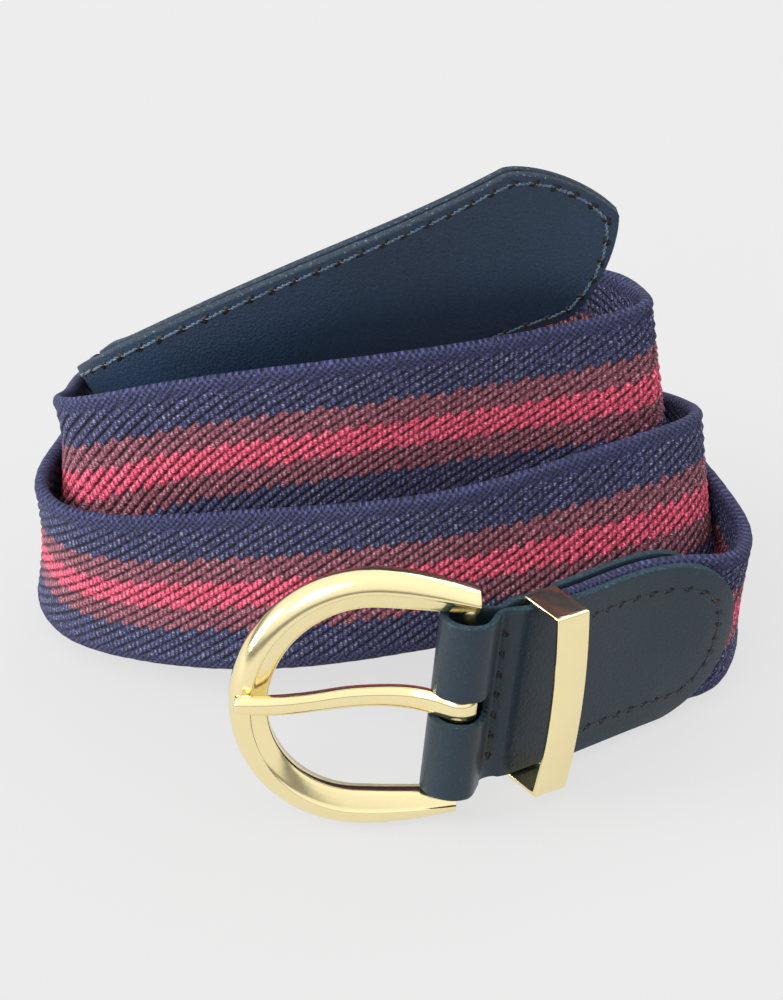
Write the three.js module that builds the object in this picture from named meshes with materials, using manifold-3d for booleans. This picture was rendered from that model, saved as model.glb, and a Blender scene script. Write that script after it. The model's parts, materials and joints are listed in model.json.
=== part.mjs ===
// A striped stretch belt, coiled on a surface: elastic strap, sewn leather ends, gold D buckle and keeper.
// Millimetres, +Z up. The strap's centre line starts at the buckle bar and runs round the coil to the tip.
import * as THREE from "three";
import { mergeVertices } from "three/addons/utils/BufferGeometryUtils.js";
import Module from "manifold-3d";

const wasm = await Module();
wasm.setup();

// Driving dimensions
const CLEARANCE = 0.3;
const STRAP_HALF = 17.5;
const ELASTIC_HALF = 1.4;
const ELASTIC_ROUND = 1.0;
const LEATHER = 1.5;
const LEATHER_BEVEL = 0.4;
const LEATHER_GAP = 0.17;

const TAB_FRONT_END = 58;
const TAB_BACK_END = 54.5;
const TAB_ARCH = 12;
const TAB_POWER = 2.2;
const STITCH_ROW_AT = 7.3;
const SLOT_HALF = 2.9;
const SLOT_END = 4.8;
const FOLD_RADIUS = 3.8;

const TIP_LENGTH = 120;
const TIP_LAP = 20;
const TIP_ARCH = 16;
const TIP_POWER = 1.3;
const TIP_TAPER = 14;

const BAR_RADIUS = 1.4;
const BAR_HALF = 19.5;
const FRAME_SWING = 32;
const FRAME_THICK = 4.8;
const FRAME_OUTER = 25.6;
const FRAME_INNER = 18.5;
const FRAME_CENTRE = 16.3;
const FRAME_REACH = 24.7;
const FRAME_WEB = 6.8;
const ARM_END = -1.5;
const ARM_OUTER = 22.4;
const ARM_INNER = 17.85;

const EYE_INNER = 1.8;
const EYE_OUTER = 3.3;
const EYE_HALF = 2.4;
const PRONG_HALF_THICK = 1.25;

const KEEPER_AT = 16.3;
const KEEPER_WIDTH = 7.2;
const KEEPER_METAL = 0.9;
const KEEPER_HALF_HEIGHT = 18.75;
const KEEPER_FRONT = 9.4;
const KEEPER_BOW = 1.5;

// Centre line of the strap: name, x, y, z of the middle of its width, outward lean of its top edge in degrees
const STATIONS = [
  ["bar", 12, -55.5, 24, -4],
  ["tab_middle", 34, -39, 20, -1],
  ["tab_end", 50.5, -29, 19, 2],
  ["right_1", 60.5, -23.5, 17.5, 9],
  ["right_1_back", 62.5, -4.5, 18.5, -7],
  ["back_1_right", 38.5, 25.5, 18, 3],
  ["back_1_middle", -5, 30, 17.5, -1],
  ["back_1_left", -49.5, 28.5, 18.5, 1],
  ["left_2", -64, 4.5, 20.5, -7],
  ["front_2_left", -62.5, -10, 21.5, 5],
  ["front_2_middle", -27.5, -27.5, 27.5, -1],
  ["front_2_right", 19, -27.5, 34.5, -1],
  ["right_2_front", 48.5, -18, 36.5, -16],
  ["right_2", 57, -8.5, 34.5, -9],
  ["back_2_right", 38.5, 14, 26.5, 10],
  ["back_2_middle", -6, 21.5, 24.5, 9],
  ["back_2_left", -52.5, 19.5, 28, 9.5],
  ["left_3", -57.5, -9, 38, -6],
  ["front_3_left", -42.5, -15.5, 46.5, 0],
  ["front_3_middle", -7.5, -18, 55, 2],
  ["front_3_right", 29.5, -10, 56, -1],
  ["right_3", 48, -1.5, 56, -8],
  ["back_3_right", 43.5, 9, 54, -1],
  ["back_3_middle", 5, 14.5, 45.5, 6],
  ["back_3_left", -34.5, 17.8, 35.5, 18.5],
  ["left_4", -45.6, 8, 37, 33],
  ["tip_start", -43, -4.8, 47.8, 10.5],
  ["tip_left", -13.5, -8, 69, 2.5],
  ["tip_right", 21.5, -2, 84, 5],
  ["tip_end", 40.5, 1, 91, -10],
];

// Half gap between the tab's two leathers: distance from the bar, half gap
const KEEPER_ROOM = KEEPER_METAL / 2 + CLEARANCE + 0.28;
const TAB_GAP = [
  [0, FOLD_RADIUS],
  [STITCH_ROW_AT, LEATHER_GAP],
  [KEEPER_AT - KEEPER_WIDTH / 2 - 0.5, KEEPER_ROOM],
  [KEEPER_AT + KEEPER_WIDTH / 2 + 0.3, KEEPER_ROOM],
  [KEEPER_AT + 6, ELASTIC_HALF + 0.4],
];

// The prong from its eye to its tip: distance from the bar, height over the frame's middle, half width
const PRONG = [
  [2.4, -0.5, 2.2],
  [6, -1.0, 2.2],
  [11, -1.2, 2.1],
  [16, -0.9, 2.0],
  [20.5, 0.1, 2.0],
  [25.5, 1.8, 1.9],
  [30.5, 3.3, 1.85],
  [35, 4.1, 1.8],
  [40.5, 4.35, 1.6],
];

const GOLD = { color: 0xe6cd8a, roughness: 0.18, metalness: 1 };
const LEATHER_LOOK = { color: 0x1f2d3f, roughness: 0.5, metalness: 0 };
const ELASTIC_LOOK = { color: 0x6b3350, roughness: 0.85, metalness: 0 };

// Natural cubic spline through values at knots, as a function that gives the value and the slope
function naturalSpline(knots, values) {
  const n = knots.length - 1;
  const step = knots.slice(1).map((knot, i) => knot - knots[i]);
  const rise = step.map((h, i) => (values[i + 1] - values[i]) / h);
  const upper = [0];
  const right = [0];
  for (let i = 1; i < n; i++) {
    const pivot = 2 * (step[i - 1] + step[i]) - step[i - 1] * upper[i - 1];
    upper[i] = step[i] / pivot;
    right[i] = (6 * (rise[i] - rise[i - 1]) - step[i - 1] * right[i - 1]) / pivot;
  }
  const bend = new Array(n + 1).fill(0);
  for (let i = n - 1; i > 0; i--) bend[i] = right[i] - upper[i] * bend[i + 1];
  return (t) => {
    let i = 0;
    while (i < n - 1 && t > knots[i + 1]) i++;
    const b = (t - knots[i]) / step[i];
    const a = 1 - b;
    const curve = ((a ** 3 - a) * bend[i] + (b ** 3 - b) * bend[i + 1]) * step[i] ** 2;
    const lean = ((3 * b * b - 1) * bend[i + 1] - (3 * a * a - 1) * bend[i]) * step[i];
    return [a * values[i] + b * values[i + 1] + curve / 6, rise[i] + lean / 6];
  };
}

// Eased interpolation in a table of [place, value] rows
function eased(table, place) {
  const last = table[table.length - 1];
  if (place >= last[0]) return last[1];
  let i = 0;
  while (i < table.length - 2 && place > table[i + 1][0]) i++;
  const t = THREE.MathUtils.smoothstep(place, table[i][0], table[i + 1][0]);
  return THREE.MathUtils.lerp(table[i][1], table[i + 1][1], t);
}

// The strap as a ribbon: its frame at any distance from the bar
const KNOTS = [0];
for (let i = 1; i < STATIONS.length; i++) {
  const [a, b] = [STATIONS[i - 1], STATIONS[i]].map((row) => new THREE.Vector3(...row.slice(1, 4)));
  KNOTS.push(KNOTS[i - 1] + a.distanceTo(b));
}
const COLUMNS = [1, 2, 3, 4].map((column) => naturalSpline(KNOTS, STATIONS.map((row) => row[column])));

const ARC_STEP = 0.25;
const ARC = [0];
for (let t = ARC_STEP; t <= KNOTS.at(-1); t += ARC_STEP) {
  const slopes = COLUMNS.slice(0, 3).map((spline) => spline(t - ARC_STEP / 2)[1]);
  ARC.push(ARC.at(-1) + ARC_STEP * Math.hypot(...slopes));
}
const STRAP_END = ARC.at(-1);

function knotAt(distance) {
  let low = 0;
  let high = ARC.length - 1;
  while (high - low > 1) {
    const middle = (low + high) >> 1;
    if (ARC[middle] > distance) high = middle;
    else low = middle;
  }
  return ARC_STEP * (low + (distance - ARC[low]) / (ARC[high] - ARC[low]));
}

// along runs toward the tip, up across the width, out away from the coil's middle
function strapFrame(distance) {
  const t = knotAt(THREE.MathUtils.clamp(distance, 0, STRAP_END));
  const [x, y, z, lean] = COLUMNS.map((spline) => spline(t));
  const point = new THREE.Vector3(x[0], y[0], z[0]);
  const along = new THREE.Vector3(x[1], y[1], z[1]).normalize();
  const up = new THREE.Vector3(0, 0, 1).addScaledVector(along, -along.z).normalize();
  const out = new THREE.Vector3().crossVectors(along, up);
  up.applyAxisAngle(along, THREE.MathUtils.degToRad(lean[0]));
  out.applyAxisAngle(along, THREE.MathUtils.degToRad(lean[0]));
  if (distance < 0) point.addScaledVector(along, distance);
  return { point, along, up, out };
}

function onStrap(distance, across, outward) {
  const { point, up, out } = strapFrame(distance);
  return point.addScaledVector(up, across).addScaledVector(out, outward);
}

// Places along the strap that all its layers share, closer together where it bends
const LONGEST_STEP = 4.5;
const SHORTEST_STEP = 1.3;
const BEND_PER_STEP = 0.14;
const PLACES = [0];
while (PLACES.at(-1) < STRAP_END) {
  const here = PLACES.at(-1);
  const bend = strapFrame(here + 1).along.angleTo(strapFrame(here + 4).along) / 3;
  const step = BEND_PER_STEP / Math.max(bend, 1e-3);
  PLACES.push(here + THREE.MathUtils.clamp(step, SHORTEST_STEP, LONGEST_STEP));
}

const ELASTIC_START = KEEPER_AT + 6;
const TIP_START = STRAP_END - TIP_LENGTH;
const ELASTIC_END = TIP_START + TIP_LAP;
PLACES.push(ELASTIC_START, TIP_START, ELASTIC_END);
PLACES.sort((a, b) => a - b);

function steps(from, to) {
  return [from, ...PLACES.filter((place) => place > from && place < to), to];
}

// Closed mesh through rings of points, each ring the same loop, with flat ends. Where the loop's places
// across the strap are given, all quads split along one diagonal, so that layers stay parallel.
function loft(rings, across = rings[0].map((_, i) => i)) {
  const size = rings[0].length;
  const position = rings.flat().flatMap((p) => [p.x, p.y, p.z]);
  const index = [];
  for (let r = 0; r < rings.length - 1; r++) {
    for (let i = 0; i < size; i++) {
      const a = r * size + i;
      const b = r * size + ((i + 1) % size);
      if (across[(i + 1) % size] >= across[i]) index.push(a, b, b + size, a, b + size, a + size);
      else index.push(a, b, a + size, b, b + size, a + size);
    }
  }
  const end = (rings.length - 1) * size;
  for (let i = 1; i < size - 1; i++) {
    index.push(0, i + 1, i);
    index.push(end, end + i, end + i + 1);
  }
  const geometry = new THREE.BufferGeometry();
  geometry.setAttribute("position", new THREE.Float32BufferAttribute(position, 3));
  geometry.setIndex(index);
  return geometry;
}

function toSolid(geometry) {
  const bare = geometry.clone();
  bare.deleteAttribute("normal");
  bare.deleteAttribute("uv");
  const merged = mergeVertices(bare, 1e-4);
  const vertProperties = merged.attributes.position.array;
  const triVerts = new Uint32Array(merged.index.array);
  return new wasm.Manifold(new wasm.Mesh({ numProp: 3, vertProperties, triVerts }));
}

function toGeometry(solid) {
  const { vertProperties, triVerts } = solid.getMesh();
  const geometry = new THREE.BufferGeometry();
  geometry.setAttribute("position", new THREE.BufferAttribute(vertProperties, 3));
  geometry.setIndex(new THREE.BufferAttribute(triVerts, 1));
  return geometry;
}

function mesh(name, geometry, look) {
  geometry.computeVertexNormals();
  const made = new THREE.Mesh(geometry, new THREE.MeshStandardMaterial(look));
  made.name = name;
  return made;
}

// Evenly spaced values between two ends, without the ends
const CELLS = 4;
function between(from, to) {
  return Array.from({ length: CELLS - 1 }, (_, i) => THREE.MathUtils.lerp(from, to, (i + 1) / CELLS));
}

// The elastic's section with rounded corners, as [across, outward] pairs
const CORNER_STEP = Math.PI / 4;
function elasticSection() {
  const points = [];
  for (let corner = 0; corner < 4; corner++) {
    const sideUp = corner === 0 || corner === 3 ? 1 : -1;
    const sideOut = corner < 2 ? 1 : -1;
    for (let i = 0; i < 3; i++) {
      const turn = (corner * Math.PI) / 2 + i * CORNER_STEP;
      points.push([
        sideUp * (STRAP_HALF - ELASTIC_ROUND) + ELASTIC_ROUND * Math.cos(turn),
        sideOut * (ELASTIC_HALF - ELASTIC_ROUND) + ELASTIC_ROUND * Math.sin(turn),
      ]);
    }
    const flat = sideUp * (STRAP_HALF - ELASTIC_ROUND);
    const face = between(flat, -flat).map((across) => [across, sideOut * ELASTIC_HALF]);
    if (corner % 2 === 0) points.push(...face);
  }
  return points;
}

function elasticStrap() {
  const section = elasticSection();
  const rings = steps(ELASTIC_START, ELASTIC_END).map((place) =>
    section.map(([across, outward]) => onStrap(place, across, outward)),
  );
  return mesh("elastic_strap", loft(rings, section.map(([across]) => across)), ELASTIC_LOOK);
}

// Share of the half width left at a distance before a rounded end
function archShare(before, arch, power) {
  const t = THREE.MathUtils.clamp(1 - before / arch, 0, 1);
  return Math.max((1 - t ** power) ** (1 / power), 0.05);
}

// Section of one leather between two distances from the centre line, bevelled on its outer edges
function leatherSection(half, inner, side) {
  const outer = inner + LEATHER;
  const bevel = Math.min(LEATHER_BEVEL, half / 2);
  const loop = [
    [-half, inner],
    ...between(-half, half).map((across) => [across, inner]),
    [half, inner],
    [half, outer - bevel],
    [half - bevel, outer],
    ...between(half - bevel, bevel - half).map((across) => [across, outer]),
    [bevel - half, outer],
    [-half, outer - bevel],
  ].map(([across, outward]) => [across, outward * side]);
  return side > 0 ? loop : loop.reverse();
}

// Places with extra columns near a rounded end
const ARCH_COLUMNS = 9;
function archedSteps(from, to, arch) {
  const places = steps(from, to - arch);
  for (let i = 1; i <= ARCH_COLUMNS; i++) {
    places.push(to - arch + arch * Math.sin((Math.PI / 2) * (i / ARCH_COLUMNS)));
  }
  return places;
}

function tipLeather(name, side) {
  const gap = [
    [0, ELASTIC_HALF + 0.4],
    [TIP_LAP + 4, ELASTIC_HALF + 0.4],
    [TIP_LAP + TIP_TAPER, LEATHER_GAP],
  ];
  const rings = archedSteps(TIP_START, STRAP_END, TIP_ARCH).map((place) => {
    const half = STRAP_HALF * archShare(STRAP_END - place, TIP_ARCH, TIP_POWER);
    const section = leatherSection(half, eased(gap, place - TIP_START), side);
    return section.map(([across, outward]) => onStrap(place, across, outward));
  });
  const across = leatherSection(STRAP_HALF, 0, side).map((point) => point[0]);
  return mesh(name, loft(rings, across), LEATHER_LOOK);
}

// The tab: one leather from its front end, round the bar and back to its rear end
const FOLD_COLUMNS = 12;
function buckleTab() {
  const columns = [];
  const run = (end, side) =>
    archedSteps(0, end, TAB_ARCH).map((place) => ({
      half: STRAP_HALF * archShare(end - place, TAB_ARCH, TAB_POWER),
      inner: [place, side * eased(TAB_GAP, place)],
      outer: [place, side * (eased(TAB_GAP, place) + LEATHER)],
    }));
  columns.push(...run(TAB_FRONT_END, 1).reverse());
  for (let i = 1; i < FOLD_COLUMNS; i++) {
    const turn = (Math.PI * i) / FOLD_COLUMNS;
    const direction = [-Math.sin(turn), Math.cos(turn)];
    columns.push({
      half: STRAP_HALF,
      inner: direction.map((d) => d * FOLD_RADIUS),
      outer: direction.map((d) => d * (FOLD_RADIUS + LEATHER)),
    });
  }
  columns.push(...run(TAB_BACK_END, -1));
  const rings = columns.map(({ half, inner, outer }) => {
    const bevel = Math.min(LEATHER_BEVEL, half / 2);
    const lower = outer.map((d, k) => d + (inner[k] - d) * (bevel / LEATHER));
    return [
      onStrap(lower[0], -half, lower[1]),
      onStrap(outer[0], bevel - half, outer[1]),
      ...between(bevel - half, half - bevel).map((across) => onStrap(outer[0], across, outer[1])),
      onStrap(outer[0], half - bevel, outer[1]),
      onStrap(lower[0], half, lower[1]),
      onStrap(inner[0], half, inner[1]),
      ...between(half, -half).map((across) => onStrap(inner[0], across, inner[1])),
      onStrap(inner[0], -half, inner[1]),
    ];
  });
  const slot = new THREE.BoxGeometry(12 + SLOT_END, 2 * SLOT_HALF, 16);
  slot.translate((SLOT_END - 12) / 2, 0, 0);
  slot.applyMatrix4(barFrame());
  return mesh("buckle_tab", toGeometry(toSolid(loft(rings)).subtract(toSolid(slot))), LEATHER_LOOK);
}

// Frame at the bar: X along the strap, Y up the bar, Z outward
function barFrame() {
  const { point, along, up, out } = strapFrame(0);
  return new THREE.Matrix4().makeBasis(along, up, out).setPosition(point);
}

// The D's outline as [away from the bar, along the bar] pairs, from the top arm's end to the bottom arm's end
const ARM_STEPS = 6;
const BEND_STEPS = 28;
function dOutline(endHalf, radius, reach) {
  const arm = [];
  for (let i = 0; i < ARM_STEPS; i++) {
    const t = i / ARM_STEPS;
    const bow = Math.sin((Math.PI / 2) * t);
    arm.push([ARM_END + (FRAME_CENTRE - ARM_END) * t, endHalf + (radius - endHalf) * bow]);
  }
  const bend = [];
  for (let i = 0; i <= BEND_STEPS; i++) {
    const turn = Math.PI * (0.5 - i / BEND_STEPS);
    bend.push([FRAME_CENTRE + reach * Math.cos(turn), radius * Math.sin(turn)]);
  }
  return [...arm, ...bend, ...arm.map(([away, along]) => [away, -along]).reverse()];
}

// Buckle pieces are drawn in the frame's own axes: X away from the strap, Y down the bar, Z to the front
const RIDGE_SHARE = 0.5;
const SHOULDER = 0.45;
function buckleFrame() {
  const outer = dOutline(ARM_OUTER, FRAME_OUTER, FRAME_REACH);
  const inner = dOutline(ARM_INNER, FRAME_INNER, FRAME_REACH - FRAME_WEB);
  const half = FRAME_THICK / 2;
  const section = [
    [0, -half],
    [1, -half],
    [1, half * SHOULDER],
    [RIDGE_SHARE + 0.18, half * 0.9],
    [RIDGE_SHARE, half],
    [RIDGE_SHARE - 0.18, half * 0.9],
    [0, half * SHOULDER],
  ];
  const rings = outer.map(([outerX, outerY], i) =>
    section.map(([share, height]) => {
      const x = inner[i][0] + (outerX - inner[i][0]) * share;
      const y = inner[i][1] + (outerY - inner[i][1]) * share;
      return new THREE.Vector3(x, y, height);
    }),
  );
  const bar = new THREE.CylinderGeometry(BAR_RADIUS, BAR_RADIUS, 2 * BAR_HALF, 24);
  return mesh("buckle_frame", toGeometry(toSolid(loft(rings)).add(toSolid(bar))), GOLD);
}

function prong() {
  const path = new THREE.CatmullRomCurve3(PRONG.map(([x, z, half]) => new THREE.Vector3(x, half, z)));
  const rings = path.getPoints(24).map(({ x, y: half, z }) => {
    const thick = PRONG_HALF_THICK;
    const edge = 0.5;
    return [
      new THREE.Vector3(x, half, z - thick + edge),
      new THREE.Vector3(x, half, z + thick - edge),
      new THREE.Vector3(x, half - edge, z + thick),
      new THREE.Vector3(x, edge - half, z + thick),
      new THREE.Vector3(x, -half, z + thick - edge),
      new THREE.Vector3(x, -half, z - thick + edge),
      new THREE.Vector3(x, edge - half, z - thick),
      new THREE.Vector3(x, half - edge, z - thick),
    ];
  });
  const eye = new THREE.LatheGeometry(
    [
      new THREE.Vector2(EYE_INNER, -EYE_HALF),
      new THREE.Vector2(EYE_OUTER, -EYE_HALF),
      new THREE.Vector2(EYE_OUTER, EYE_HALF),
      new THREE.Vector2(EYE_INNER, EYE_HALF),
      new THREE.Vector2(EYE_INNER, -EYE_HALF),
    ],
    24,
  );
  return mesh("prong", toGeometry(toSolid(loft(rings)).add(toSolid(eye))), GOLD);
}

// The keeper: an extruded loop with a bowed front, in the strap's frame
function keeper() {
  const back = -KEEPER_METAL / 2;
  const loop = (half, low, high) => {
    const shape = new THREE.Path();
    shape.moveTo(-half, low);
    shape.lineTo(half, low);
    shape.lineTo(half, high);
    shape.quadraticCurveTo(0, high + 2 * KEEPER_BOW, -half, high);
    shape.closePath();
    return shape.getPoints(10);
  };
  const outline = new THREE.Shape(loop(KEEPER_HALF_HEIGHT, back, KEEPER_FRONT));
  const inner = KEEPER_HALF_HEIGHT - KEEPER_METAL;
  outline.holes.push(new THREE.Path(loop(inner, back + KEEPER_METAL, KEEPER_FRONT - KEEPER_METAL)));
  const geometry = new THREE.ExtrudeGeometry(outline, { depth: KEEPER_WIDTH, bevelEnabled: false });
  geometry.translate(0, 0, -KEEPER_WIDTH / 2);
  const { point, along, up, out } = strapFrame(KEEPER_AT);
  geometry.applyMatrix4(new THREE.Matrix4().makeBasis(up, out, along).setPosition(point));
  return mesh("keeper", toGeometry(toSolid(geometry)), GOLD);
}

// The frame and its prong hang on the bar, swung in from the strap's own line
function buckle() {
  const swing = new THREE.Group();
  swing.add(buckleFrame(), prong());
  swing.rotation.set(0, THREE.MathUtils.degToRad(FRAME_SWING), Math.PI, "ZYX");
  const group = new THREE.Group();
  group.add(swing);
  group.applyMatrix4(barFrame());
  return group;
}

const belt = new THREE.Group();
belt.add(elasticStrap(), buckleTab(), keeper(), buckle());
belt.add(tipLeather("tip_front", 1), tipLeather("tip_back", -1));

// The origin is the middle of the footprint, on the surface
belt.updateMatrixWorld(true);
const box = new THREE.Box3().setFromObject(belt, true);
const middle = box.getCenter(new THREE.Vector3());
belt.position.set(-middle.x, -middle.y, -box.min.z);

export default belt;
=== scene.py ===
"""Looks of a coiled stretch belt: striped elastic, sewn leather ends, a gold D buckle and a keeper."""

import json
import math

import bmesh
import bpy
import numpy as np
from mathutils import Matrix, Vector


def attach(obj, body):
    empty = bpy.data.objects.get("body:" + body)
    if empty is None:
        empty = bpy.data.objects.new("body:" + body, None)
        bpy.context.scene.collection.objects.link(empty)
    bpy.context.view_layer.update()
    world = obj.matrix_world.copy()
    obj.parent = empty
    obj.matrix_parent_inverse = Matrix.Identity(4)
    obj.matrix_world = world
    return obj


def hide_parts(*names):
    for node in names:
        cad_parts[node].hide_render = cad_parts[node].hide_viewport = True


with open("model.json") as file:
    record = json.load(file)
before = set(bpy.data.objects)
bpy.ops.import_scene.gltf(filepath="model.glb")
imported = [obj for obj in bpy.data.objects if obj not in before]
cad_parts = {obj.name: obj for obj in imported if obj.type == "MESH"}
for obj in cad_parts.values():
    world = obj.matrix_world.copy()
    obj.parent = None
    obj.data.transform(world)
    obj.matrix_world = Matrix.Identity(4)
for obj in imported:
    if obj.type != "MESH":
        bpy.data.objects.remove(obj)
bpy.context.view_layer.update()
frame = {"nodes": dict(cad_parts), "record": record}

# Lengths are in millimetres, unless a comment says metres

# Camera: degrees up, distance from the point it looks at, lens and sensor
CAMERA_ELEVATION = 36.0
CAMERA_DISTANCE = 850
CAMERA_LENS = 163.71
CAMERA_AIM = (0, 0, 28)
SENSOR_WIDTH = 36

# Strap, tab and tip
STRAP_HALF = 17.5
ELASTIC_HALF = 1.4
ELASTIC_ROOM = ELASTIC_HALF + 0.4
LEATHER = 1.5
LEATHER_GAP = 0.17
EDGE_ROUND = 0.45
FOLD_RADIUS = 3.8
TAB_FRONT_END = 58
TAB_BACK_END = 54.5
TAB_ARCH = 12
TAB_POWER = 2.2
TIP_LENGTH = 120
TIP_LAP = 20
TIP_ARCH = 16
TIP_POWER = 1.3
TIP_TAPER = 14

# The slot for the prong, and the band that is pressed in along the stitch row
SLOT_HALF = 2.55
SLOT_END = 4.4
SLOT_ROUND = 0.8
SLOT_REACH = 12
SLOT_CUT = 8
STITCH_ROW_AT = 7.3
PRESS_MIDDLE = STITCH_ROW_AT + 0.2
PRESS_HALF = 2.4
PRESS_DEPTH = 0.5
PRESS_POWER = 10

# Buckle, with the swing of its frame out of the strap in degrees
BAR_RADIUS = 1.4
BAR_HALF = 19.5
FRAME_SWING = 32
FRAME_THICK = 4.8
FRAME_OUTER = 25.6
FRAME_INNER = 18.5
FRAME_CENTRE = 16.3
FRAME_REACH = 24.7
FRAME_WEB = 6.8
ARM_END = -1.5
ARM_OUTER = 22.4
ARM_INNER = 17.85
EYE_INNER = 1.8
EYE_OUTER = 3.3
EYE_HALF = 2.4
PRONG_HALF_THICK = 1.25

# Keeper
KEEPER_AT = 16.3
KEEPER_WIDTH = 7.2
KEEPER_METAL = 0.9
KEEPER_HALF_HEIGHT = 18.75
KEEPER_FRONT = 9.4
KEEPER_BOW = 1.5
KEEPER_ROOM = KEEPER_METAL / 2 + 0.58

# Weave: the angle and period of its ropes, the stripes and the knots
RIB_ANGLE = math.radians(32.3)
RIB_PERIOD = 3.07
RIB_DEPTH = 0.32
PINK_HALF = 2.85
BURGUNDY_HALF = 8.0
KNOT_PITCH = 1.15
KNOT_SLANT = 0.9
EDGE_KNOT = 1.15
EDGE_BAND = 2.4

# Weave in the mesh: unevenness, and how the ropes grow flat towards the edge
WOBBLE_DEPTH = 0.06
WOBBLE_ALONG = 0.83
WOBBLE_ACROSS = 1.7
WOBBLE_SLOW = 0.31
FLAT_FROM = STRAP_HALF - EDGE_BAND - 1.2
FLAT_WIDTH = 2.2
FLAT_DEPTH_SHARE = 0.12

# Weave in the material: how far a rope or knot is full height, as a share of its width to either side of its
# middle, yarn strands and clumps a millimetre, and factors that give each knot its own random number
ROPE_TOP = 0.16
KNOT_TOP = 0.12
STRANDS_ALONG = 3.9
STRANDS_OVER = 2.2
STRAND_SKEW = 0.6
STRAND_SHIFT = 9.0
CLUMPS = 0.9
KNOT_SEED = 7.31
ROPE_SEED = 3.17
STRIPE_SHIFT = 0.5
EDGE_BLEND = 0.8

# Stitches: half height and power of a row's rounded end and the distance between its holes, then the threads
# and the holes, with the tilt of a hole in radians
TIP_ROW = {"half": 15.7, "power": 1.4, "pitch": 4.1}
TAB_ROW = {"half": 12.4, "power": 2.5, "pitch": 3.3}
CROSS_ROW_HOLES = 7
CROSS_ROW_PITCH = 4.2
TIP_STITCH = {"radius": 0.2, "rise": 0.08, "lean": 0.3, "hole": 1.15}
TAB_STITCH = {"radius": 0.16, "rise": 0.02, "lean": 0.2, "hole": 0.95}
CROSS_STITCH = {"radius": 0.15, "rise": -0.03, "lean": 0.2, "hole": 1.05}
PLY_TURNS = 2
PLY_OFFSET = 0.75
THREAD_INSET = 0.06
THREAD_SUNK = 0.6
THREAD_END_THIN = 0.55
THREAD_TAPER = 5
HOLE_TILT = 0.5
HOLE_FLATNESS = 0.6
HOLE_RAGGED = 0.25
HOLE_TOP = 0.05
HOLE_BOTTOM = -0.3

# How finely each mesh is divided
COLUMNS_PER_RIB = 8
FACE_ROWS = 14
EDGE_STEPS = 8
ACROSS_CELLS = 22
EDGE_ARC_POINTS = 5
FOLD_STEPS = 26
ARCH_STEPS = 30
SLOT_CORNER_STEPS = 5
ARM_STEPS = 16
BEND_STEPS = 96
BAR_SIDES = 32
PRONG_STEPS = 90
EYE_STEPS = 48
KEEPER_FRONT_STEPS = 40
KEEPER_SIDE_STEPS = 8
KEEPER_BACK_STEPS = 20
THREAD_STEPS = 12
PLY_SIDES = 6
HOLE_SIDES = 10

# Stage, in metres and watts. Lights: name, place, aim, size, power. Sky: sine of the elevation, brightness
FLOOR_HALF = 3.0
FLOOR_GLOW = 0.665
LIGHTS = [
    ("key", (-0.9, -1.5, 2.0), (0, 0, 0.03), 1.4, 20),
    ("left", (-2.2, -0.3, 0.9), (0, 0, 0.04), 1.0, 55),
    ("rim", (0.9, 1.9, 1.5), (0, 0, 0.04), 1.2, 10),
]
SKY = [(0.0, 0.8), (0.05, 0.25), (0.16, 0.3), (0.28, 1.0), (1.0, 1.25)]
SKY_STRENGTH = 0.95

# Centre line of the strap: name, x, y, z of the middle of its width, outward lean of its top in degrees
STATIONS = [
    ("bar", 12, -55.5, 24, -4),
    ("tab_middle", 34, -39, 20, -1),
    ("tab_end", 50.5, -29, 19, 2),
    ("right_1", 60.5, -23.5, 17.5, 9),
    ("right_1_back", 62.5, -4.5, 18.5, -7),
    ("back_1_right", 38.5, 25.5, 18, 3),
    ("back_1_middle", -5, 30, 17.5, -1),
    ("back_1_left", -49.5, 28.5, 18.5, 1),
    ("left_2", -64, 4.5, 20.5, -7),
    ("front_2_left", -62.5, -10, 21.5, 5),
    ("front_2_middle", -27.5, -27.5, 27.5, -1),
    ("front_2_right", 19, -27.5, 34.5, -1),
    ("right_2_front", 48.5, -18, 36.5, -16),
    ("right_2", 57, -8.5, 34.5, -9),
    ("back_2_right", 38.5, 14, 26.5, 10),
    ("back_2_middle", -6, 21.5, 24.5, 9),
    ("back_2_left", -52.5, 19.5, 28, 9.5),
    ("left_3", -57.5, -9, 38, -6),
    ("front_3_left", -42.5, -15.5, 46.5, 0),
    ("front_3_middle", -7.5, -18, 55, 2),
    ("front_3_right", 29.5, -10, 56, -1),
    ("right_3", 48, -1.5, 56, -8),
    ("back_3_right", 43.5, 9, 54, -1),
    ("back_3_middle", 5, 14.5, 45.5, 6),
    ("back_3_left", -34.5, 17.8, 35.5, 18.5),
    ("left_4", -45.6, 8, 37, 33),
    ("tip_start", -43, -4.8, 47.8, 10.5),
    ("tip_left", -13.5, -8, 69, 2.5),
    ("tip_right", 21.5, -2, 84, 5),
    ("tip_end", 40.5, 1, 91, -10),
]

# Half gap between the tab's two leathers: distance from the bar, half gap
ELASTIC_START = KEEPER_AT + 6
TAB_GAP = [
    (0, FOLD_RADIUS),
    (STITCH_ROW_AT, LEATHER_GAP),
    (KEEPER_AT - KEEPER_WIDTH / 2 - 0.5, KEEPER_ROOM),
    (KEEPER_AT + KEEPER_WIDTH / 2 + 0.3, KEEPER_ROOM),
    (ELASTIC_START, ELASTIC_ROOM),
]

# Half gap between the tip's two leathers: distance from their start, half gap
TIP_GAP = [
    (0, ELASTIC_ROOM),
    (TIP_LAP + 4, ELASTIC_ROOM),
    (TIP_LAP + TIP_TAPER, LEATHER_GAP),
]

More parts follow.
